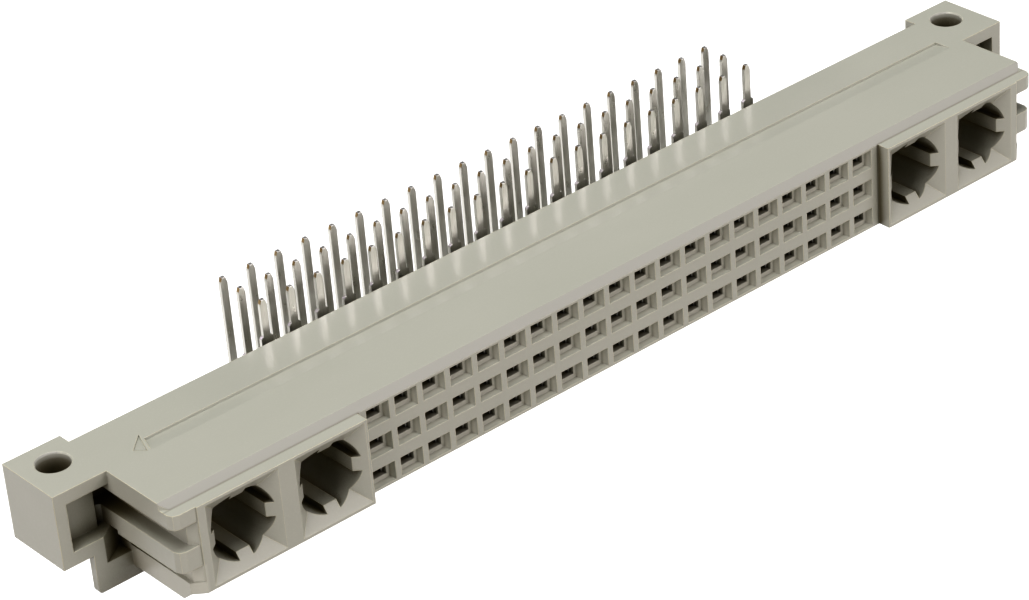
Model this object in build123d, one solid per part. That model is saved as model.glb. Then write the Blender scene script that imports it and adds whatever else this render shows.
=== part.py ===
from build123d import *
import os
from math import cos, radians, sin, tan

# Right-angle female board connector: 60 signal sockets between two pairs of special-contact cavities.
# Every form is modelled about the centre of the contact field on the mating face: +X along the
# connector, +Y from the mating face to the rear, +Z up to the board. The last step moves all of it so
# that the origin lies midway between the fixing holes, on the board seat.

# Signal contact field
pitch = 2.54
columns = 20
rows = 3
mouth_width = 2.02
mouth_height = 1.53
funnel_width = 1.74
funnel_height = 1.38
funnel_depth = 0.60
slot_width = 1.22
slot_height = 0.70

# Body section
field_rim = 0.195
band_rise = 0.50
band_run = 0.65
foot_step = 1.75
foot_front = 6.47
body_depth = 11.40
band_corner = 0.55

# Blocks with the special cavities
block_proud = 1.08
block_gap = 0.50
cavity_pitch = 7.62
cavity_inner_wall = 0.21
cavity_outer_wall = 0.67
cavity_width = 6.20
cavity_rim = 0.23
cavity_taper = 51.0
bore_diameter = 5.52
key_opening = 4.34
key_width = 1.16
bore_end = 8.60
rear_hole_diameter = 3.60

# End ribs and the wall behind them
rib_reach = 1.95
middle_rib_reach = 1.80
lower_rib_reach = 0.90
end_wall_reach = 0.60
rib_groove_height = 1.88
top_rib_height = 1.17
middle_rib_height = 1.70
lower_rib_height = 0.92
lower_rib_drop = 0.80
lower_rib_lead = 0.95
nose_proud = 0.96
nose_corner = 0.62
end_wall_proud = 0.40
lower_rib_proud = 0.35
end_wall_step = 0.12

# Fixing flanges and skirt
flange_start = 1.60
hole_from_body = 2.25
flange_end = 2.55
flange_depth = 6.03
flange_height = 6.04
hole_diameter = 2.50
hole_rim = 0.10
hole_setback = 10.04
recess_end_wall = 0.97
recess_top_wall = 1.05
recess_bottom_wall = 1.09
recess_depth = 1.33
recess_well_width = 0.90
recess_well_depth = 2.70
low_well_depth = 1.65
low_well_slant = 0.45
skirt_reach = 2.33
skirt_thickness = 0.65
skirt_corner = 0.25
notch_inset = 0.97
notch_rise = 2.15
notch_slope = 0.69

# Wedge groove in the board seat
groove_depth = 0.22
groove_run = 1.55
groove_back = 7.85
groove_left_inset = 4.20
groove_right_inset = 1.70
groove_splay = 0.55
mark_depth = 0.12
mark_gap = 0.25
mark_reach = 1.45
mark_rear = 0.65
mark_front = 1.45

# Contacts
strip_thickness = 0.30
strip_width = 1.05
tail_width = 0.60
tail_lead = 2.54
tail_rise = 2.88
rear_tail_short = 0.40
tail_point = 0.45
tail_tip_width = 0.30
shoulder_rise = 1.36
shoulder_slope = 0.16
bend_radius = 0.30
bend_steps = 3
contact_clearance = 0.02
tine_thickness = 0.22
tine_start = 1.00
throat_gap = 0.40
throat_place = 2.30
tine_mouth_gap = 0.84
spring_root = 6.60
base_end = 8.60

# Heights and places that follow from the sizes above
field_half_length = columns * pitch / 2
field_half_height = (rows - 1) * pitch / 2 + mouth_height / 2 + field_rim
seat_height = field_half_height + band_rise
foot_height = -field_half_height - foot_step
block_face = -block_proud
block_inner = field_half_length + block_gap
cavity_places = [block_inner + cavity_inner_wall + cavity_width / 2 + i * cavity_pitch for i in range(2)]
block_outer = cavity_places[-1] + cavity_width / 2 + cavity_outer_wall
rib_side = block_outer + rib_reach
middle_rib_side = block_outer + middle_rib_reach
body_side = block_outer + flange_start
hole_place = body_side + hole_from_body
flange_side = hole_place + flange_end
skirt_side = body_side + skirt_reach
notch_side = skirt_side - notch_inset
flange_rear = foot_front + flange_depth
flange_floor = seat_height - flange_height
groove_top = field_half_height - top_rib_height
groove_floor = groove_top - rib_groove_height
middle_rib_floor = groove_floor - middle_rib_height
recess_top = seat_height - recess_top_wall
recess_floor = flange_floor + recess_bottom_wall


def span(x0, x1, y0, y1, z0, z1):
    """A box given by its two limits along each axis."""
    return Pos((x0 + x1) / 2, (y0 + y1) / 2, (z0 + z1) / 2) * Box(x1 - x0, y1 - y0, z1 - z0)


def both_ends(shape):
    """The shape on the +X end and its mirror image on the -X end."""
    return [shape, mirror(shape, about=Plane.YZ)]


def side_section(points, x0, x1):
    """A solid with the given (y, z) outline, running from x0 to x1."""
    outline = make_face(Polyline(*[(x0, y, z) for y, z in points], close=True))
    return extrude(outline, amount=x1 - x0, dir=(1, 0, 0))


def plan_section(points, z0, z1):
    """A solid with the given (x, y) outline, running from z0 to z1."""
    outline = make_face(Polyline(*[(x, y, z0) for x, y in points], close=True))
    return extrude(outline, amount=z1 - z0, dir=(0, 0, 1))


def column_place(column):
    return (column - (columns - 1) / 2) * pitch


def row_height(row):
    return ((rows - 1) / 2 - row) * pitch


def rectangle_at(width, height, depth):
    """A rectangle square to the mating direction, at the given depth behind the mating face."""
    return Plane(origin=(0, depth, 0), x_dir=(1, 0, 0), z_dir=(0, 1, 0)) * Rectangle(width, height)


def body():
    """The long centre of the moulding: contact field, bevelled band, board seat and deeper rear foot."""
    centre = [
        (0, -field_half_height),
        (0, field_half_height),
        (band_run, seat_height),
        (body_depth, seat_height),
        (body_depth, foot_height),
        (foot_front, foot_height),
        (foot_front, -field_half_height),
    ]
    return side_section(centre, -block_outer, block_outer)


def block():
    """The proud block that holds one pair of special cavities."""
    return span(block_inner, block_outer, block_face, foot_front, -field_half_height, field_half_height)


def nose_plan(reach, proud):
    """Plan of an end rib: its side, the rounded corner of its nose and its flat front."""
    side = block_outer + reach
    return [
        (block_outer, foot_front),
        (side, foot_front),
        (side, -proud + nose_corner),
        (side - nose_corner * 0.3, -proud + nose_corner * 0.3),
        (side - nose_corner, -proud),
        (block_outer, -proud),
    ]


def blunt_nose_plan(reach, proud, step):
    """Plan of the end wall or a lower rib: it stands back and runs aslant to the block's corner."""
    side = block_outer + reach
    return [(block_outer, foot_front), (side, foot_front), (side, -proud), (block_outer, block_face + step)]


def upper_ribs():
    """The two upper ribs on the +X end, the wall behind them and the side of the board seat above."""
    top = field_half_height
    top_rib = plan_section(nose_plan(rib_reach, nose_proud), groove_top, top)
    middle_rib = plan_section(nose_plan(middle_rib_reach, nose_proud), middle_rib_floor, groove_floor)
    wall = plan_section(blunt_nose_plan(end_wall_reach, end_wall_proud, end_wall_step), -top, top)
    seat_side = [(0, groove_top), (0, top), (band_run, seat_height), (foot_front, seat_height), (foot_front, groove_top)]
    return [top_rib, middle_rib, wall, side_section(seat_side, block_outer, rib_side)]


def lower_rib():
    """The lower rib on the +X end, which drops below the block behind a slanted lead."""
    top = -field_half_height + lower_rib_height
    floor = -field_half_height - lower_rib_drop
    lead_end = lower_rib_lead - lower_rib_proud
    plan = plan_section(blunt_nose_plan(lower_rib_reach, lower_rib_proud, 0), floor, top)
    front = block_face - 1
    below = [(front, floor - 1), (front, -field_half_height), (-lower_rib_proud, -field_half_height)]
    below += [(lead_end, floor), (lead_end, floor - 1)]
    return plan - side_section(below, block_outer - 1, rib_side)


def band_corner_cut():
    """Takes off the band's corner where it meets the side of the board seat."""
    plan = [(rib_side + 1, -1), (rib_side + 1, band_corner), (rib_side, band_corner), (rib_side - band_corner, 0)]
    return plan_section(plan + [(rib_side - band_corner, -1)], field_half_height, seat_height + 1)


def front_section(points, y0, y1):
    """A solid with the given (x, z) outline, running from y0 to y1."""
    outline = make_face(Polyline(*[(x, y0, z) for x, z in points], close=True))
    return extrude(outline, amount=y1 - y0, dir=(0, 1, 0))


def flange():
    """The fixing flange on one end, the rear end of the body, the skirt and its web to the body."""
    rear_body = span(block_outer, body_side, foot_front, body_depth, foot_height, seat_height)
    ear = span(body_side, flange_side, foot_front, flange_rear, flange_floor, seat_height)
    skirt_rear = foot_front + skirt_thickness
    skirt = front_section(
        [
            (body_side, flange_floor),
            (skirt_side, flange_floor),
            (skirt_side, foot_height + skirt_corner),
            (skirt_side - skirt_corner * 0.3, foot_height + skirt_corner * 0.3),
            (skirt_side - skirt_corner, foot_height),
            (body_side, foot_height),
        ],
        foot_front,
        skirt_rear,
    )
    web_root = skirt_rear + notch_slope * (notch_side - body_side)
    web_plan = [(body_side, foot_front), (notch_side, foot_front), (notch_side, skirt_rear), (body_side, web_root)]
    return [rear_body, ear, skirt, plan_section(web_plan, foot_height, flange_floor)]


def flange_recess():
    """The pocket in the flange's front, the wells behind it and the rear end of the rib groove."""
    front = foot_front - 0.01
    back = foot_front + recess_depth
    rear = foot_front + recess_well_depth
    low_rear = foot_front + low_well_depth
    well_side = body_side + recess_well_width
    pocket = span(rib_side, flange_side - recess_end_wall, front, back, recess_floor, recess_top)
    rib_gap = span(middle_rib_side, rib_side, front, back, recess_floor, groove_top)
    groove = span(block_outer + end_wall_reach, rib_side, front, rear, groove_floor, groove_top)
    upper_well = span(rib_side, well_side, front, rear, groove_floor, recess_top)
    low_plan = [(middle_rib_side, front), (well_side, front)]
    low_plan += [(well_side, low_rear + low_well_slant), (middle_rib_side, low_rear)]
    return [pocket, rib_gap, groove, upper_well, plan_section(low_plan, recess_floor, groove_floor)]


def skirt_notch():
    """The notch below the pocket: its rear wall runs aslant from the skirt's front in towards the body."""
    front = foot_front - 0.01
    inner = block_outer + lower_rib_reach
    depth = notch_slope * (notch_side - inner)
    plan = [(notch_side, front), (notch_side, foot_front), (inner, foot_front + depth), (inner, front)]
    return plan_section(plan, foot_height + notch_rise, recess_floor)


def fixing_hole():
    """The round hole down through the flange, with its eased rim on the board seat."""
    radius = hole_diameter / 2
    shaft = Pos(hole_place, hole_setback, seat_height - flange_height / 2) * Cylinder(radius, flange_height + 2)
    rim = Pos(hole_place, hole_setback, seat_height) * Cone(radius, radius + 2 * hole_rim, 2 * hole_rim)
    return shaft + rim


def signal_pocket():
    """One funnel pocket with its contact slot, which runs through to the rear."""
    funnel = loft(
        [rectangle_at(mouth_width, mouth_height, 0), rectangle_at(funnel_width, funnel_height, funnel_depth)]
    )
    slot = span(-slot_width / 2, slot_width / 2, 0, body_depth + 1, -slot_height / 2, slot_height / 2)
    return funnel + slot


def special_cavity():
    """A square funnel that runs into a round bore with four keys, and the smaller hole to the rear."""
    half_height = field_half_height - cavity_rim
    slope = tan(radians(cavity_taper))
    narrow = key_opening / 2 - 0.15
    depth = (max(half_height, cavity_width / 2) - narrow) / slope
    mouth = rectangle_at(cavity_width, 2 * half_height, block_face)
    throat = rectangle_at(
        cavity_width - 2 * slope * depth, 2 * half_height - 2 * slope * depth, block_face + depth
    )
    funnel = loft([mouth, throat])
    ring = Plane(origin=(0, block_face, 0), x_dir=(1, 0, 0), z_dir=(0, 1, 0))
    section = Circle(bore_diameter / 2)
    for turn in range(4):
        section -= Rot(0, 0, 90 * turn) * Pos(key_opening / 2 + bore_diameter / 2, 0) * Rectangle(bore_diameter, key_width)
    bore = extrude(ring * section, amount=bore_end - block_face)
    hole_length = body_depth + 1 - block_face
    rear_hole = extrude(ring * Circle(rear_hole_diameter / 2), amount=hole_length)
    return funnel + bore + rear_hole


def seat_groove():
    """The wedge groove across the board seat: an upright riser and a ramp that rises to the front."""
    left = -rib_side + groove_left_inset
    section = [
        (groove_back, seat_height + 0.5),
        (groove_back, seat_height - groove_depth),
        (groove_back - groove_run, seat_height),
        (groove_back - groove_run, seat_height + 0.5),
    ]
    groove = side_section(section, left - groove_splay, rib_side - groove_right_inset)
    splay = [(left - 2, groove_back + 1), (left, groove_back + 1), (left, groove_back)]
    splay += [(left - groove_splay, groove_back - groove_run), (left - 2, groove_back - groove_run)]
    return groove - plan_section(splay, seat_height - 1, seat_height + 1)


def seat_mark():
    """The small sunk triangle that marks the groove's left end, with a thin ridge between the two."""
    side = -rib_side + groove_left_inset - mark_gap
    lean = groove_splay / groove_run
    plan = [
        (side + mark_rear * lean, groove_back + mark_rear),
        (side + mark_gap - mark_reach, groove_back - mark_front / 2),
        (side - mark_front * lean, groove_back - mark_front),
    ]
    return plan_section(plan, seat_height - mark_depth, seat_height + 1)


def housing():
    """The whole moulding."""
    pieces = [body()]
    for shape in [block(), lower_rib()] + upper_ribs() + flange():
        pieces += both_ends(shape)
    shell = pieces[0].fuse(*pieces[1:]).clean()
    tools = []
    for shape in flange_recess() + [skirt_notch(), fixing_hole(), band_corner_cut()]:
        tools += both_ends(shape)
    for place in cavity_places:
        tools += both_ends(Pos(place, 0, 0) * special_cavity())
    pocket = signal_pocket()
    for column in range(columns):
        for row in range(rows):
            tools.append(Pos(column_place(column), 0, row_height(row)) * pocket)
    tools += [seat_groove(), seat_mark()]
    return shell.cut(*tools)


def spring_tine():
    """One tine of the female spring, in plan: root, throat and flared mouth."""
    outer = slot_width / 2 - contact_clearance
    throat = throat_gap / 2
    mouth = tine_mouth_gap / 2
    outline = [
        (outer, spring_root),
        (throat + tine_thickness, throat_place),
        (outer, tine_start),
        (mouth, tine_start),
        (throat, throat_place),
        (outer - tine_thickness, spring_root),
    ]
    top = slot_height / 2 - contact_clearance
    return plan_section(outline, -top, top)


def bent_leg(rear, floor, knee):
    """The level leg and its bend, in section: both surfaces turn about one centre."""
    centre_y = rear - strip_thickness - bend_radius
    centre_z = floor + strip_thickness + bend_radius
    turns = [radians(90 * step / bend_steps) for step in range(bend_steps + 1)]
    outside = bend_radius + strip_thickness
    outer_bend = [(centre_y + outside * sin(turn), centre_z - outside * cos(turn)) for turn in turns]
    inner_bend = [(centre_y + bend_radius * sin(turn), centre_z - bend_radius * cos(turn)) for turn in turns]
    section = [(spring_root, floor)] + outer_bend + inner_bend[::-1] + [(spring_root, floor + strip_thickness)]
    return side_section(section, -strip_width / 2, strip_width / 2)


def solder_tail(front, knee, tip):
    """The upright blade: wide as far as the shoulder, then the narrow tail with its pointed tip."""
    wide = strip_width / 2
    half = tail_width / 2
    tip_half = tail_tip_width / 2
    right = [
        (wide, knee),
        (wide, shoulder_rise - shoulder_slope),
        (wide - shoulder_slope, shoulder_rise),
        (half, shoulder_rise),
        (half, tip - tail_point),
        (tip_half, tip),
    ]
    left = [(-x, z) for x, z in reversed(right)]
    return front_section(right + left, front, front + strip_thickness)


def contact(row):
    """One stamped contact: two spring tines on a base, a level leg, the bend and the solder tail."""
    floor = -slot_height / 2 + contact_clearance
    short = rear_tail_short if row == rows - 1 else 0
    rear = hole_setback + tail_lead + row * pitch - short + strip_thickness / 2
    knee = floor + strip_thickness + bend_radius
    tip = seat_height + tail_rise - row_height(row)
    half = slot_width / 2 - contact_clearance
    base = span(-half, half, spring_root, base_end, floor, slot_height / 2 - contact_clearance)
    tine = spring_tine()
    leg = bent_leg(rear, floor, knee)
    tail = solder_tail(rear - strip_thickness, knee, tip)
    return base.fuse(leg, tail, tine, mirror(tine, about=Plane.YZ)).clean()


def contact_column(column):
    """The three contacts of one column, as separate pieces."""
    return Compound(children=[Pos(column_place(column), 0, row_height(row)) * contact(row) for row in range(rows)])


def main():
    os.makedirs("parts", exist_ok=True)
    to_board_origin = Pos(0, -hole_setback, -seat_height)
    export_step(to_board_origin * housing(), "parts/housing.step")
    for column in range(columns):
        name = f"contact_column_{column + 1:02d}"
        export_step(to_board_origin * contact_column(column), f"parts/{name}.step")


main()
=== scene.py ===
# %% [markdown]
# # A right-angle female board connector
#
# The real object is a long moulded housing with sixty stamped contacts. It lies with its board side up, so
# that the solder tails point at the sky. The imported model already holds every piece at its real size. This
# notebook gives the pieces their finishes, and sets up the camera, the floor and a soft studio light.

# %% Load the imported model
from math import dist, radians

import bpy
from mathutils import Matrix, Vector


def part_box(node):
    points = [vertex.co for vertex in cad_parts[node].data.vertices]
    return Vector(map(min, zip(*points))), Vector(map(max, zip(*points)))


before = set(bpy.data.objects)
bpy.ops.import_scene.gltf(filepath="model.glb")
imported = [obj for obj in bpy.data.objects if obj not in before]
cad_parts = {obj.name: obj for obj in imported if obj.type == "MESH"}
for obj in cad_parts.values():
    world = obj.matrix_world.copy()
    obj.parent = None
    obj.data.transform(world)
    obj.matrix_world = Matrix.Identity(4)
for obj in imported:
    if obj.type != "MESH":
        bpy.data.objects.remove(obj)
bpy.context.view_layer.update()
MM = 0.001
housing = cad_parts["housing"]
contact_columns = [
    node for name, node in sorted(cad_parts.items()) if name.startswith("contact_column_")
]
print("nodes", len(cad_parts), "of which contact columns", len(contact_columns))

# %% [markdown]
# ## Where things are
#
# Finishes that change from place to place, such as the bare copper at the tips of the tails, need to know
# where the tips are. These places are read from the nodes' own boxes, so they follow the model. The board
# seat is the plane z = 0 of this model, x runs along the housing and y from the mating face to the rear.

# %% Places read from the model
housing_low, housing_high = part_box("housing")
contact_low, contact_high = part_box("contact_column_01")
tip_height = contact_high[2]
underside = housing_low[2]
mating_side = housing_low[1]
housing_size = [round((high - low) / MM, 2) for low, high in zip(housing_low, housing_high)]
print("housing", housing_size, "mm along, deep and high")
print("contacts from", round(contact_low[2] / MM, 2), "to", round(tip_height / MM, 2), "mm of height")

# %% [markdown]
# ## Small helpers
#
# Colours are picked as the hex codes that an image editor shows, which are in sRGB. Blender's
# shaders want linear light, so one function converts them. Another adds a shader node with its settings and
# its links in one call, which keeps the recipes below short enough to read.
#
# Two more helpers serve every recipe. One gives the place on the object in millimetres, so that patterns
# can be sized in millimetres. The other lays one colour over another, as a thin coat of paint goes over the
# last, wherever a set of masks overlap. A mask is a number from 0 to 1 at each point of the surface.


# %% Helpers for colours and shader nodes
def linear(hex_code):
    """An sRGB hex colour as the linear RGBA that shaders use, by the formula of the sRGB standard."""
    channels = [int(hex_code[i : i + 2], 16) / 255 for i in (1, 3, 5)]
    return [c / 12.92 if c <= 0.04045 else ((c + 0.055) / 1.055) ** 2.4 for c in channels] + [1.0]


def add(tree, kind, values=None, links=None, **settings):
    """Adds one node. values sets its sockets, links joins them to other nodes' outputs."""
    node = tree.nodes.new(kind)
    for name, value in settings.items():
        setattr(node, name, value)
    for socket, value in (values or {}).items():
        node.inputs[socket].default_value = value
    for socket, source in (links or {}).items():
        tree.links.new(source, node.inputs[socket])
    return node


print("mid grey #808080 in linear light is", round(linear("#808080")[0], 3))

# %% Helpers for every material
# A Mix node has sockets of one name for each kind of data, so its colour sockets go by number.
SHARE, UNDER, OVER, MIXED = 0, 6, 7, 2


def start_material(name):
    """An empty material and its node tree."""
    material = bpy.data.materials.new(name)
    material.use_nodes = True
    material.node_tree.nodes.clear()
    return material, material.node_tree


def place_in_mm(tree):
    """The place on the object, in millimetres of its own frame."""
    place = add(tree, "ShaderNodeTexCoord").outputs["Object"]
    return add(tree, "ShaderNodeMapping", {"Scale": (1 / MM,) * 3}, {"Vector": place}).outputs[0]


def paint_over(tree, under, hex_code, masks):
    """The colour under it, with a paint laid over where all the masks overlap."""
    share = masks[0]
    for mask in masks[1:]:
        share = add(tree, "ShaderNodeMath", links={0: share, 1: mask}, operation="MULTIPLY").outputs[0]
    coat = add(
        tree, "ShaderNodeMix", {OVER: linear(hex_code)}, {SHARE: share, UNDER: under}, data_type="RGBA"
    )
    return coat.outputs[MIXED]


print("patterns are sized in units of", MM, "m")

# %% [markdown]
# ## Glass-filled polyester, injection moulded
#
# The housing is a pale pebble-grey glass-filled polyester. The mould gives it a satin skin: not glossy,
# because short glass fibres lie just under the surface, and not dead matt either. A picture could be
# wrapped round it, but noises and masks stay sharp at any distance and need no unwrapping. Five things tell
# the eye what it is:
#
# - the colour drifts a little over several millimetres, where the melt flowed
# - a fine speckle of fibres breaks up the even grey
# - no edge is truly sharp, and edges catch the light, partly through real shading and partly as a painted
#   highlight
# - deep corners look browner and darker, because light that bounces between coloured walls takes up their
#   colour. Here that shade is painted into the colour
# - the strip beside the tails is smoother than the rest, and mirrors the tails faintly
#
# The recipe has a step for each: the grain, what the masks go by, the zones, the paints and the skin.

# %% Grain of the moulded plastic
FLOW_MM = 7.0
# The melt ran along the housing, so its drift is drawn about three times longer that way.
FLOW_STRETCH = (0.35, 1.0, 1.0)
# Real glass fibres are about 0.01 mm thick, so they are drawn coarser, or the picture would not show them.
SPECKLE_MM = 0.16
SKIN_MM = 0.35


def moulded_grain(tree, in_mm):
    """Noises for the drift of the melt, the speckle of fibres and the slight unevenness of the skin."""
    along = add(tree, "ShaderNodeMapping", {"Scale": FLOW_STRETCH}, {"Vector": in_mm}).outputs[0]
    # Each pattern has its coordinates, the size of a patch and how many levels of finer detail it holds.
    patterns = {
        "flow": (along, FLOW_MM, 3.0),
        "speckle": (in_mm, SPECKLE_MM, 1.0),
        "skin": (in_mm, SKIN_MM, 2.0),
    }
    grain = {}
    for name, (vector, size, detail) in patterns.items():
        noise = add(tree, "ShaderNodeTexNoise", {"Scale": 1 / size, "Detail": detail}, {"Vector": vector})
        grain[name] = noise.outputs[0]
    return grain


print("flow", FLOW_MM, "mm, speckle", SPECKLE_MM, "mm, skin", SKIN_MM, "mm")

# %% [markdown]
# ### What the masks go by
#
# A mask can go by anything that a shader knows about a point of the surface, as long as it doesn't change
# with the camera. Besides the noise for the fibres, five things are enough here:
#
# - the place, in millimetres
# - the way the surface faces
# - its openness. An Ambient Occlusion node looks around within a few millimetres and tells how much open
#   air it sees, so a deep corner is found from the shape alone
# - how near an edge is. A Bevel node turns the normal near an edge, so the turned normal and the flat one
#   are unlike there. The same turned normal later makes the edges shine as if they were rounded
# - the depth in an opening. The two blocks at the sides stand proud of the field of small pockets between
#   them, so the field is counted from further forward, and both kinds of opening start at about the same
#   number

# %% Measures for the housing's masks
EDGE_RADIUS = 0.12 * MM
CORNER_REACH = 4.0 * MM
# How many rays a Bevel and an Ambient Occlusion node send out. More rays are smoother and slower.
EDGE_SAMPLES = 6
CORNER_SAMPLES = 8
BLOCK_PROUD_MM = 1.08
FIELD_SHIFT_MM = 1.3
FIELD_END_MM = 25.6
FIELD_BLEND_MM = 0.3
block_face = mating_side / MM
field_face = block_face + BLOCK_PROUD_MM


def housing_measures(tree, in_mm, rounded):
    """Place, facing, openness, nearness to an edge and depth in an opening, at each point."""
    place = add(tree, "ShaderNodeSeparateXYZ", links={0: in_mm})
    back = place.outputs["Y"]
    sideways = add(tree, "ShaderNodeMath", links={0: place.outputs["X"]}, operation="ABSOLUTE").outputs[0]
    in_field = add(
        tree,
        "ShaderNodeMapRange",
        {"From Min": FIELD_END_MM + FIELD_BLEND_MM, "From Max": FIELD_END_MM},
        {"Value": sideways},
    ).outputs[0]
    depth = add(
        tree, "ShaderNodeMath", {1: -FIELD_SHIFT_MM}, {0: in_field, 2: back}, operation="MULTIPLY_ADD"
    )
    from_line = add(tree, "ShaderNodeMath", {1: field_face}, {0: back}, operation="SUBTRACT").outputs[0]
    flat = add(tree, "ShaderNodeNewGeometry").outputs["True Normal"]
    facing = add(tree, "ShaderNodeSeparateXYZ", links={0: flat})
    unturned = add(tree, "ShaderNodeVectorMath", links={0: rounded, 1: flat}, operation="DOT_PRODUCT")
    open_air = add(tree, "ShaderNodeAmbientOcclusion", {"Distance": CORNER_REACH}, samples=CORNER_SAMPLES)
    return {
        "sideways": sideways,
        "in_field": in_field,
        "back": back,
        "height": place.outputs["Z"],
        "depth": depth.outputs[0],
        "line_gap": add(tree, "ShaderNodeMath", links={0: from_line}, operation="ABSOLUTE").outputs[0],
        "facing_back": facing.outputs["Y"],
        "facing_up": facing.outputs["Z"],
        "unturned": unturned.outputs["Value"],
        "openness": open_air.outputs["AO"],
    }


print("blocks' face at", round(block_face, 2), "mm, field's face at", round(field_face, 2), "mm")

# %% [markdown]
# ### The zones
#
# Each zone is a row of a table. It says what the zone goes by, from which value to which it fades in, and
# how strong its mask is at those two values. A second value below the first makes a zone that fades in as
# the measure falls. A table shows at a glance which zones share a border, and one loop makes all the masks.

# %% Zones of the housing
ZONES = {
    # Along the housing, in mm from its middle.
    "end_walls": ("sideways", 40.3, 40.6, 0.0, 1.0),
    "between_ends": ("sideways", 40.3, 40.6, 1.0, 0.0),
    "near_tails": ("sideways", 35.0, 30.0, 0.0, 0.65),
    "beside_field": ("in_field", 0.0, 1.0, 1.0, 0.0),
    # In height, in mm from the board seat.
    "below_seat": ("height", -0.25, -0.5, 0.0, 1.0),
    "on_seat": ("height", -0.25, -0.5, 1.0, 0.0),
    "near_seat": ("height", -0.58, -0.52, 0.0, 1.0),
    "lowest_rib": ("height", -5.15, -5.3, 0.0, 0.8),
    # From the mating face to the rear, in mm.
    "past_field_face": ("back", field_face, field_face + 0.3, 0.0, 0.6),
    "on_field_line": ("line_gap", 0.02, 0.12, 0.45, 0.0),
    "behind_nose": ("back", -9.0, -4.0, 0.15, 1.0),
    "before_flange": ("back", -3.8, -4.4, 0.0, 1.0),
    "rear_strip": ("back", -2.4, -2.1, 0.0, 1.0),
    "before_rear": ("back", 1.2, 0.9, 0.0, 1.0),
    # Into the openings, in mm on the same scale.
    "inside": ("depth", block_face + 0.2, block_face + 0.9, 0.0, 1.0),
    "deep_inside": ("depth", block_face + 1.5, block_face + 7.0, 0.0, 1.0),
    # By facing: -1 is straight to the front, 1 is straight up.
    "faces_front": ("facing_back", -0.4, -0.5, 0.0, 1.0),
    "faces_up": ("facing_up", 0.5, 0.6, 0.0, 1.0),
    # By openness: 0 sees only walls, 1 sees only air.
    "closed_in": ("openness", 0.20, 0.64, 1.0, 0.0),
    "walled": ("openness", 0.60, 0.85, 0.95, 0.0),
    "cornered": ("openness", 0.95, 0.80, 0.0, 1.0),
    "airy": ("openness", 0.55, 0.75, 0.0, 1.0),
    # By the turn of the normal near edges, and by the noise for the fibres.
    "edge": ("unturned", 0.80, 0.99, 0.90, 0.0),
    "fibre": ("speckle", 0.55, 0.80, 0.0, 0.12),
}
print("zones", len(ZONES), "that go by", sorted({row[0] for row in ZONES.values()}))


# %% Masks from the zones
def housing_masks(tree, in_mm, rounded, speckle):
    """A mask for each zone of the table, and one for the field of pockets."""
    measures = housing_measures(tree, in_mm, rounded)
    measures["speckle"] = speckle
    masks = {"in_field": measures["in_field"]}
    for name, (measure, start, end, at_start, at_end) in ZONES.items():
        fade = add(
            tree,
            "ShaderNodeMapRange",
            {"From Min": start, "From Max": end, "To Min": at_start, "To Max": at_end},
            {"Value": measures[measure]},
        )
        masks[name] = fade.outputs[0]
    return masks


print("each point of the housing gets", 1 + len(ZONES), "masks")

# %% [markdown]
# ### The paints, most of them painted light and shade
#
# The ground is a grey that drifts with the melt flow. The paints go over it one by one, each kept to its
# place by the zones that it names:
#
# - fibres under the skin are a little paler than the resin
# - edges get a painted cream highlight, as thin edges catch light, but only those in the open
# - the sloped band along the front of the seat gets painted shade, a little darker than the faces beside it
# - the funnel walls of the small pockets are paler, a painted bounce light for the light between them
# - the lowest rib at each end is paler too, a painted light that lifts the shade under the rib above it
# - a faint line of painted shade crosses the top of each block, in the crease in line with the face of the
#   field
# - crevices at the ends turn brown with painted shade
#
# Last come the walls of the bores and slots, in painted shade: brown at the mouth. Further in, where hardly
# any light arrives, the painted shade itself is paler, so that the eye sees one even brown.

# %% Paints of the housing
GROUND = ("#ADAEA2", "#B6B6AB")
PAINTS_AND_PAINTED_LIGHT = {
    "fibres": ("#C9C8C0", ("fibre",)),
    # Painted highlight: cream on the edges that are in the open.
    "edges": ("#E6E0C2", ("edge", "airy")),
    # Painted shade: the band that faces up and to the front is darkened.
    "sloped band": ("#A3A29A", ("faces_front", "near_seat", "faces_up")),
    # Painted light: the funnel walls are lightened, standing in for light that bounces between them.
    "funnel walls": ("#D8D8CC", ("past_field_face", "in_field", "below_seat", "cornered", "before_rear")),
    # Painted light: lifts the shade on the lowest rib at each end.
    "lowest ribs": ("#C6C6BA", ("lowest_rib", "before_flange", "end_walls")),
    # Painted shade: a dark line in the crease on top of each block.
    "line on the blocks": ("#6E6A5A", ("on_field_line", "near_seat", "beside_field")),
    # Painted shade: crevices at the ends are darkened to brown.
    "crevices": ("#5E5538", ("closed_in", "end_walls", "behind_nose", "below_seat")),
}
# Painted shade in the bores and slots: darker at the mouth, paler further in.
BORE_PAINTED_SHADE = ("#50482C", "#A3986C")
BORE_SHADE_ZONES = ("before_rear", "inside", "between_ends", "below_seat")
print("paints", list(PAINTS_AND_PAINTED_LIGHT))


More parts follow.
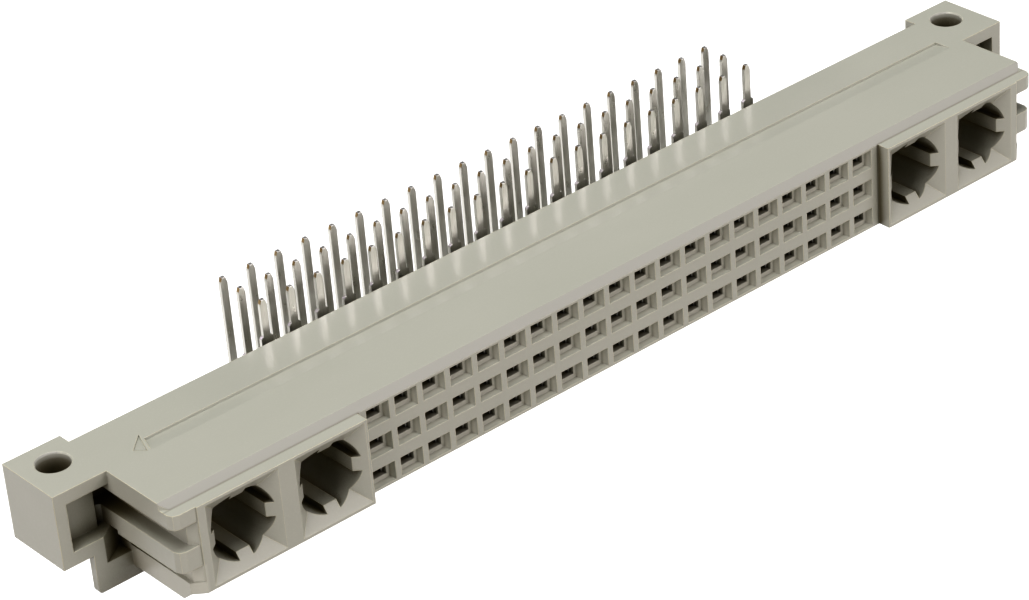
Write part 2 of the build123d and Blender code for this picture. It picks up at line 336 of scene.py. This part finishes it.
# %% One coat over the other
def housing_colour_and_painted_light(tree, flow, masks):
    """The ground, the paints and painted light over it, and the painted shade of the bores over those."""
    grounds = {UNDER: linear(GROUND[0]), OVER: linear(GROUND[1])}
    colour = add(tree, "ShaderNodeMix", grounds, {SHARE: flow}, data_type="RGBA").outputs[MIXED]
    for hex_code, zones in PAINTS_AND_PAINTED_LIGHT.values():
        colour = paint_over(tree, colour, hex_code, [masks[zone] for zone in zones])
    shade_tones = {UNDER: linear(BORE_PAINTED_SHADE[0]), OVER: linear(BORE_PAINTED_SHADE[1])}
    bore_shade = add(tree, "ShaderNodeMix", shade_tones, {SHARE: masks["deep_inside"]}, data_type="RGBA")
    share = masks["walled"]
    for zone in BORE_SHADE_ZONES:
        share = add(tree, "ShaderNodeMath", links={0: share, 1: masks[zone]}, operation="MULTIPLY").outputs[0]
    layers = {SHARE: share, UNDER: colour, OVER: bore_shade.outputs[MIXED]}
    return add(tree, "ShaderNodeMix", links=layers, data_type="RGBA").outputs[MIXED]


print("coats over the ground", len(PAINTS_AND_PAINTED_LIGHT) + 1)

# %% [markdown]
# ### The skin
#
# A plastic isn't metallic, and an IOR of 1.55 is typical of such resins. The roughness wanders a little
# with the skin's noise, and a very shallow bump of the same noise keeps reflections from looking like glass.
# The smooth strip by the tails is a coat over this skin, strongest where the tails stand, because one
# roughness alone can't be satin and mirror faintly at the same time.

# %% Moulded housing material
RESIN_IOR = 1.55
SATIN = (0.30, 0.37)
NOISE_SPAN = (0.3, 0.7)
SKIN_BUMP = {"Strength": 0.06, "Distance": 0.01 * MM}
POLISH_ROUGHNESS = 0.10
POLISH_ZONES = ("on_seat", "near_tails")


def moulded_polyester():
    """Glass-filled polyester from a mould: satin grey, painted highlights on edges, painted shade in corners.
    """
    material, tree = start_material("glass_filled_polyester_moulded")
    in_mm = place_in_mm(tree)
    grain = moulded_grain(tree, in_mm)
    rounded = add(tree, "ShaderNodeBevel", {"Radius": EDGE_RADIUS}, samples=EDGE_SAMPLES).outputs[0]
    masks = housing_masks(tree, in_mm, rounded, grain["speckle"])
    colour = housing_colour_and_painted_light(tree, grain["flow"], masks)
    polish = masks["rear_strip"]
    for zone in POLISH_ZONES:
        both = {0: polish, 1: masks[zone]}
        polish = add(tree, "ShaderNodeMath", links=both, operation="MULTIPLY").outputs[0]
    spans = {"From Min": NOISE_SPAN[0], "From Max": NOISE_SPAN[1], "To Min": SATIN[0], "To Max": SATIN[1]}
    roughness = add(tree, "ShaderNodeMapRange", spans, {"Value": grain["skin"]}).outputs[0]
    normal = add(tree, "ShaderNodeBump", SKIN_BUMP, {"Height": grain["skin"], "Normal": rounded}).outputs[0]
    shader = add(
        tree,
        "ShaderNodeBsdfPrincipled",
        {"IOR": RESIN_IOR, "Metallic": 0.0, "Coat Roughness": POLISH_ROUGHNESS},
        {"Base Color": colour, "Roughness": roughness, "Coat Weight": polish, "Normal": normal},
    ).outputs[0]
    add(tree, "ShaderNodeOutputMaterial", links={"Surface": shader})
    return material


polyester = moulded_polyester()
print(polyester.name, "has", len(polyester.node_tree.nodes), "nodes")

# %% [markdown]
# ## Tin-plated contacts with bare copper at the tips
#
# The contacts are stamped from copper alloy strip that was plated with tin before it was cut. The rolled
# strip leaves fine lines along its length and a slight waviness, so the tin shines in streaks and patches.
# The stamped edges of a tail are duller and greyer than its rolled faces. Where the punch cut the tail's
# point, bare copper shows, warm brown against the grey tin. Between the tails, close to the housing, the
# tin is painted darker, as painted shade and a painted reflection of the dark gaps there.
#
# Each of the sixty tails could get materials of its own, face by face. One recipe that goes by height and
# by the way a face looks does it for all of them at once, and an Ambient Occlusion node finds the gaps.

# %% Grain of the rolled strip
# Real rolling lines are about 0.01 mm apart, so they are drawn coarser, or the picture would not show them.
STREAK_MM = 0.07
WAVE_MM = 0.60
# Both patterns are drawn longer along the tails, which stand upright.
STREAK_STRETCH = (1.0, 1.0, 0.05)
WAVE_STRETCH = (1.0, 1.0, 0.35)


def rolled_grain(tree, in_mm):
    """Noises for the fine lines and the slight waves that rolling leaves."""
    # Each pattern has its stretch, the size of a patch and how many levels of finer detail it holds.
    patterns = {"streaks": (STREAK_STRETCH, STREAK_MM, 2.0), "waves": (WAVE_STRETCH, WAVE_MM, 3.0)}
    grain = {}
    for name, (stretch, size, detail) in patterns.items():
        long = add(tree, "ShaderNodeMapping", {"Scale": stretch}, {"Vector": in_mm}).outputs[0]
        noise = add(tree, "ShaderNodeTexNoise", {"Scale": 1 / size, "Detail": detail}, {"Vector": long})
        grain[name] = noise.outputs[0]
    return grain


print("streaks", STREAK_MM, "mm wide, waves", WAVE_MM, "mm")

# %% Colours of the tinned strip
ROLLED_TIN = ("#D2D0C8", "#F4F3EE")
CUT_TIN = "#CFCDC6"
BARE_COPPER = "#94805E"
# Painted shade: the tin is darkened where other pieces crowd it.
PAINTED_GAP_SHADE = "#5A5647"
TIP_ZONE_MM = 0.36
TIP_BLEND_MM = 0.08
GAP_REACH = 2.0 * MM
# A face counts as cut when this much of its normal points sideways, and as slanted when this much is up.
SIDEWAYS_SHARE = 0.5
SLANTED_SHARE = 0.15
GAP_FADE = {"From Min": 0.15, "From Max": 0.60, "To Min": 0.85, "To Max": 0.0}
print("bare copper above", round(tip_height / MM - TIP_ZONE_MM, 2), "mm")


# %% Coats of the tinned strip
def contact_colour_and_painted_shade(tree, in_mm, streaks):
    """Bright rolled tin, duller cut edges, bare copper at the points and painted shade in the gaps at the
    foot.
    """
    tones = {UNDER: linear(ROLLED_TIN[0]), OVER: linear(ROLLED_TIN[1])}
    rolled = add(tree, "ShaderNodeMix", tones, {SHARE: streaks}, data_type="RGBA").outputs[MIXED]
    flat = add(tree, "ShaderNodeNewGeometry").outputs["True Normal"]
    facing = add(tree, "ShaderNodeSeparateXYZ", links={0: flat})
    sideways = add(tree, "ShaderNodeMath", links={0: facing.outputs["X"]}, operation="ABSOLUTE").outputs[0]
    cut = add(tree, "ShaderNodeMath", {1: SIDEWAYS_SHARE}, {0: sideways}, operation="GREATER_THAN").outputs[0]
    slanted = add(
        tree, "ShaderNodeMath", {1: SLANTED_SHARE}, {0: facing.outputs["Z"]}, operation="GREATER_THAN"
    ).outputs[0]
    height = add(tree, "ShaderNodeSeparateXYZ", links={0: in_mm}).outputs["Z"]
    tip_start = tip_height / MM - TIP_ZONE_MM
    tip_fade = {"From Min": tip_start, "From Max": tip_start + TIP_BLEND_MM}
    at_tip = add(tree, "ShaderNodeMapRange", tip_fade, {"Value": height}).outputs[0]
    openness = add(tree, "ShaderNodeAmbientOcclusion", {"Distance": GAP_REACH}, samples=CORNER_SAMPLES)
    gap_shade = add(tree, "ShaderNodeMapRange", GAP_FADE, {"Value": openness.outputs["AO"]}).outputs[0]
    edged = paint_over(tree, rolled, CUT_TIN, [cut])
    tipped = paint_over(tree, edged, BARE_COPPER, [slanted, cut, at_tip])
    return paint_over(tree, tipped, PAINTED_GAP_SHADE, [gap_shade])


print("the tin looks darker where other pieces crowd it within", round(GAP_REACH / MM, 2), "mm")

# %% [markdown]
# ### The metal's skin
#
# Tin is a metal, so all of its colour is in its reflection and its IOR is left alone. Two bumps lie one on
# the other: broad waves that break a reflection into patches, and fine lines that draw it out along the
# tail. The waves also set where the tin is brighter or duller.

# %% Tinned contact material
TIN_ROUGHNESS = (0.26, 0.44)
TAIL_EDGE_RADIUS = 0.09 * MM
WAVE_BUMP = {"Strength": 0.7, "Distance": 0.05 * MM}
STREAK_BUMP = {"Strength": 0.35, "Distance": 0.01 * MM}


def tinned_copper_alloy():
    """Tin-plated copper alloy strip, rolled and stamped: bright streaks, dull edges and copper points."""
    material, tree = start_material("tin_plated_copper_alloy_strip")
    in_mm = place_in_mm(tree)
    grain = rolled_grain(tree, in_mm)
    colour = contact_colour_and_painted_shade(tree, in_mm, grain["streaks"])
    spans = {
        "From Min": NOISE_SPAN[0],
        "From Max": NOISE_SPAN[1],
        "To Min": TIN_ROUGHNESS[0],
        "To Max": TIN_ROUGHNESS[1],
    }
    roughness = add(tree, "ShaderNodeMapRange", spans, {"Value": grain["waves"]}).outputs[0]
    rounded = add(tree, "ShaderNodeBevel", {"Radius": TAIL_EDGE_RADIUS}, samples=EDGE_SAMPLES).outputs[0]
    wavy = add(tree, "ShaderNodeBump", WAVE_BUMP, {"Height": grain["waves"], "Normal": rounded}).outputs[0]
    normal = add(tree, "ShaderNodeBump", STREAK_BUMP, {"Height": grain["streaks"], "Normal": wavy}).outputs[0]
    shader = add(
        tree,
        "ShaderNodeBsdfPrincipled",
        {"Metallic": 1.0},
        {"Base Color": colour, "Roughness": roughness, "Normal": normal},
    ).outputs[0]
    add(tree, "ShaderNodeOutputMaterial", links={"Surface": shader})
    return material


tinned = tinned_copper_alloy()
print(tinned.name, "has", len(tinned.node_tree.nodes), "nodes")

# %% [markdown]
# ## Putting the finishes on
#
# The housing is one moulding, so all of it wears the polyester. Every column of contacts shares one tin
# material: its patterns go by place, so no two tails look quite the same.


# %% Put the finishes on
def wear(node, material):
    """Gives a model node its finish in every material slot."""
    if not node.material_slots:
        node.data.materials.append(material)
    for slot in node.material_slots:
        slot.material = material


wear(housing, polyester)
for column in contact_columns:
    wear(column, tinned)
print("finished", 1 + len(contact_columns), "nodes")

# %% [markdown]
# ## Floor
#
# The connector lies on a glowing white sheet, so the picture is pure white around it and shows no shadow. A
# sheet that bright would flood the openings from below, so its light is kept off matt surfaces. A plain
# board just above it takes its place there: no ray from the camera finds it, but the housing's shadow
# falls on it, and it throws a soft light up at the mating face. One lit floor could do both jobs, but it
# would hardly be pure white and even all over.

# %% Board material
BOARD_ROUGHNESS = 0.9
GRAIN_MM = 3.0
GLOW_COLOUR = "#FFFFFF"
SHEET_GLOW = 1.0
NO_GLOW = 0.0


def board_material(name, greys, glow):
    """Matt board with a faint grain between two greys, and a glow if glow is above zero."""
    material, tree = start_material(name)
    in_mm = place_in_mm(tree)
    grain = add(tree, "ShaderNodeTexNoise", {"Scale": 1 / GRAIN_MM}, {"Vector": in_mm}).outputs[0]
    tones = {UNDER: linear(greys[0]), OVER: linear(greys[1])}
    colour = add(tree, "ShaderNodeMix", tones, {SHARE: grain}, data_type="RGBA").outputs[MIXED]
    shader = add(
        tree,
        "ShaderNodeBsdfPrincipled",
        {"Roughness": BOARD_ROUGHNESS, "Emission Color": linear(GLOW_COLOUR), "Emission Strength": glow},
        {"Base Color": colour},
    ).outputs[0]
    add(tree, "ShaderNodeOutputMaterial", links={"Surface": shader})
    return material


sheet_look = board_material("glowing_white_sheet", ("#202020", "#222222"), SHEET_GLOW)
bounce_look = board_material("matt_pale_board", ("#989288", "#9A948A"), NO_GLOW)
print("boards' materials", sheet_look.name, "and", bounce_look.name)

# %% Floor
BOARD_SIZE = 4.0
SHEET_DROP = 0.05 * MM


def flat_board(name, height, look):
    """A square board with its middle under the connector, at the given height."""
    bpy.ops.object.select_all(action="DESELECT")
    bpy.ops.mesh.primitive_plane_add(size=BOARD_SIZE, location=(0, 0, height))
    board = bpy.context.object
    board.name = name
    bpy.ops.object.transform_apply(location=True, rotation=False, scale=False)
    board.data.materials.append(look)
    return board


sheet = flat_board("white_sheet", underside - SHEET_DROP, sheet_look)
sheet.visible_diffuse = False
bounce = flat_board("bounce_board", underside, bounce_look)
bounce.visible_camera = False
bounce.visible_glossy = False
print(sheet.name, "and", bounce.name, "at", round(underside / MM, 2), "mm of height")

# %% [markdown]
# ## Lamps and surround
#
# The light is a plain studio's: one large lamp overhead and two fills, one from the front and one from the
# left. Large lamps give soft shadows, and a hint of pink in the fills takes the green out of the grey faces
# that they light. The left fill is kept out of reflections, because a low lamp there would wash out the seat
# when it is seen from the right. Two wide lilac panels do the opposite. They show in reflections and add
# nothing to matt light, so the tails get a cool sheen while the housing keeps its tone.

# %% Lamps
# Each lamp has its place in metres, the side of its square and its power in watts.
LAMPS = {
    "top_softbox": ((-0.06, 0.0, 0.98), 0.80, 6.8),
    "front_softbox": ((0.35, -0.90, 0.32), 0.60, 3.6),
    "left_softbox": ((-0.90, -0.15, 0.34), 0.60, 3.0),
}
SHEEN_PANELS = {
    "front_sheen_panel": ((0.48, -0.28, 0.58), 0.50, 0.4),
    "rear_sheen_panel": ((-0.40, 0.60, 0.50), 0.50, 1.2),
}
LAMP_AIM = Vector((0.0, 0.0, -0.004))
PINKISH_WHITE = "#FFF7FA"
LILAC = "#E6DCF0"


def soft_lamp(name, place, size, power):
    """A square area lamp, turned to look at the connector."""
    bpy.ops.object.select_all(action="DESELECT")
    bpy.ops.object.light_add(type="AREA", location=place)
    lamp = bpy.context.object
    lamp.name = name
    lamp.data.shape = "SQUARE"
    lamp.data.size = size
    lamp.data.energy = power
    lamp.rotation_euler = (LAMP_AIM - Vector(place)).to_track_quat("-Z", "Y").to_euler()
    return lamp


lamps = {name: soft_lamp(name, *settings) for name, settings in LAMPS.items()}
for name in ("front_softbox", "left_softbox"):
    lamps[name].data.color = linear(PINKISH_WHITE)[:3]
lamps["left_softbox"].visible_glossy = False
for name, settings in SHEEN_PANELS.items():
    lamps[name] = soft_lamp(name, *settings)
    lamps[name].data.color = linear(LILAC)[:3]
    lamps[name].visible_diffuse = False
print("lamps", list(lamps))

# %% [markdown]
# ### Surround and contrast
#
# A dim pale surround keeps the deepest shadows from going black. The Standard view shows colours as they
# were picked, and its High Contrast look gives the snap of a product picture.

# %% Surround and contrast
SURROUND_COLOUR = "#F4F4F2"
SURROUND_STRENGTH = 0.14
world = bpy.data.worlds.new("pale_surround")
world.use_nodes = True
background = world.node_tree.nodes["Background"]
background.inputs["Color"].default_value = linear(SURROUND_COLOUR)
background.inputs["Strength"].default_value = SURROUND_STRENGTH
bpy.context.scene.world = world
bpy.context.scene.view_settings.view_transform = "Standard"
bpy.context.scene.view_settings.look = "High Contrast"
print("surround", world.name, "at strength", SURROUND_STRENGTH)

# %% [markdown]
# ## The camera
#
# A camera can be turned by eye until the picture looks right, but its distance and its lens then trade
# off against each other. Here its place and turn were worked out from the straight edges and the contact
# grid: about 26 cm away, on the left of the mating face and above it, with a long lens that keeps the two
# ends of the connector nearly the same size.

# %% Camera
CAMERA_PLACE_MM = (-144.08, -176.15, 128.17)
CAMERA_TURN_DEG = (59.255, 4.138, -41.125)
LENS_MM = 121.77
SENSOR_MM = 36.0
NEAREST_SEEN = 0.01
FARTHEST_SEEN = 10.0


def photo_camera():
    """A long lens at the picture's place and angle."""
    bpy.ops.object.select_all(action="DESELECT")
    bpy.ops.object.camera_add(
        location=[c * MM for c in CAMERA_PLACE_MM], rotation=[radians(a) for a in CAMERA_TURN_DEG]
    )
    camera = bpy.context.object
    camera.name = "photo_camera"
    camera.data.sensor_fit = "HORIZONTAL"
    camera.data.sensor_width = SENSOR_MM
    camera.data.lens = LENS_MM
    camera.data.clip_start = NEAREST_SEEN
    camera.data.clip_end = FARTHEST_SEEN
    return camera


bpy.context.scene.camera = photo_camera()
print("camera", round(dist(CAMERA_PLACE_MM, (0.0, 0.0, 0.0))), "mm from the middle of the board seat")
